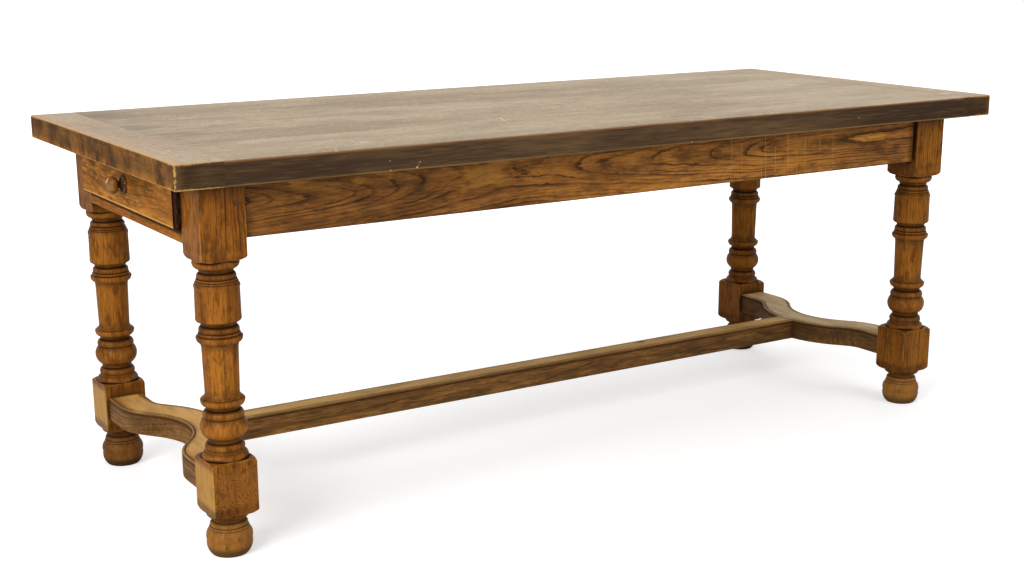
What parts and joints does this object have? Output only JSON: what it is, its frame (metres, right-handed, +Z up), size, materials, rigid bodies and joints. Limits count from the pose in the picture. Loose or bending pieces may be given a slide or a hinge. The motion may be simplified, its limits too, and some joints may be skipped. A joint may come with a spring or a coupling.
{
  "type": "farmhouse table",
  "caption": "Long oak farmhouse table with turned legs, bowed end stretchers joined by a long one, a breadboard-ended plank top and a drawer in one end.",
  "frame": {"origin": "on the floor, under the middle of the top", "axes": "+X along the table's length, with the drawer at the -X end; +Y from the front long side to the back one; +Z up"},
  "size_m": [2, 0.848, 0.76],
  "materials": {
    "oak_top": "worn grey-brown oak with faint scratches",
    "oak_breadboard": "worn brown oak, paler on its arrises",
    "oak_legs": "waxed golden-brown oak, dark in the turned grooves",
    "oak_aprons": "waxed golden-brown oak with dark open grain",
    "oak_stretchers": "waxed oak, worn paler on top",
    "oak_pegs": "end-grain oak pegs, darkened",
    "oak_drawer_front": "waxed golden-brown oak",
    "oak_drawer_box": "unfinished pale oak",
    "oak_inner": "unfinished oak, dusty brown",
    "oak_knob": "turned oak, polished by hands",
    "dark_rosette": "dark turned wood",
    "iron_screws": "dull steel wood screws"
  },
  "bodies": {
    "frame": {"top_plank_1": "oak_top", "top_plank_2": "oak_top", "top_plank_3": "oak_top", "top_plank_4": "oak_top", "top_plank_5": "oak_top", "top_plank_6": "oak_top", "left_breadboard_end": "oak_breadboard", "right_breadboard_end": "oak_breadboard", "front_left_leg": "oak_legs", "front_right_leg": "oak_legs", "back_left_leg": "oak_legs", "back_right_leg": "oak_legs", "front_apron": "oak_aprons", "back_apron": "oak_aprons", "right_end_apron": "oak_aprons", "drawer_rail": "oak_aprons", "left_end_stretcher": "oak_stretchers", "right_end_stretcher": "oak_stretchers", "long_stretcher": "oak_stretchers", "apron_pegs": "oak_pegs", "front_drawer_runner": "oak_inner", "back_drawer_runner": "oak_inner", "front_drawer_guide": "oak_inner", "back_drawer_guide": "oak_inner", "drawer_stops": "oak_inner", "top_buttons": "oak_inner", "button_screws": "iron_screws"},
    "drawer": {"drawer_front": "oak_drawer_front", "drawer_front_side": "oak_drawer_box", "drawer_back_side": "oak_drawer_box", "drawer_back": "oak_drawer_box", "drawer_bottom": "oak_drawer_box", "drawer_knob": "oak_knob", "knob_rosette": "dark_rosette"}
  },
  "joints": [
    {"name": "drawer_slide", "type": "slide", "parent": "frame", "child": "drawer", "axis": [-1, 0, 0], "range_m": [-0.015, 0.33]}
  ]
}
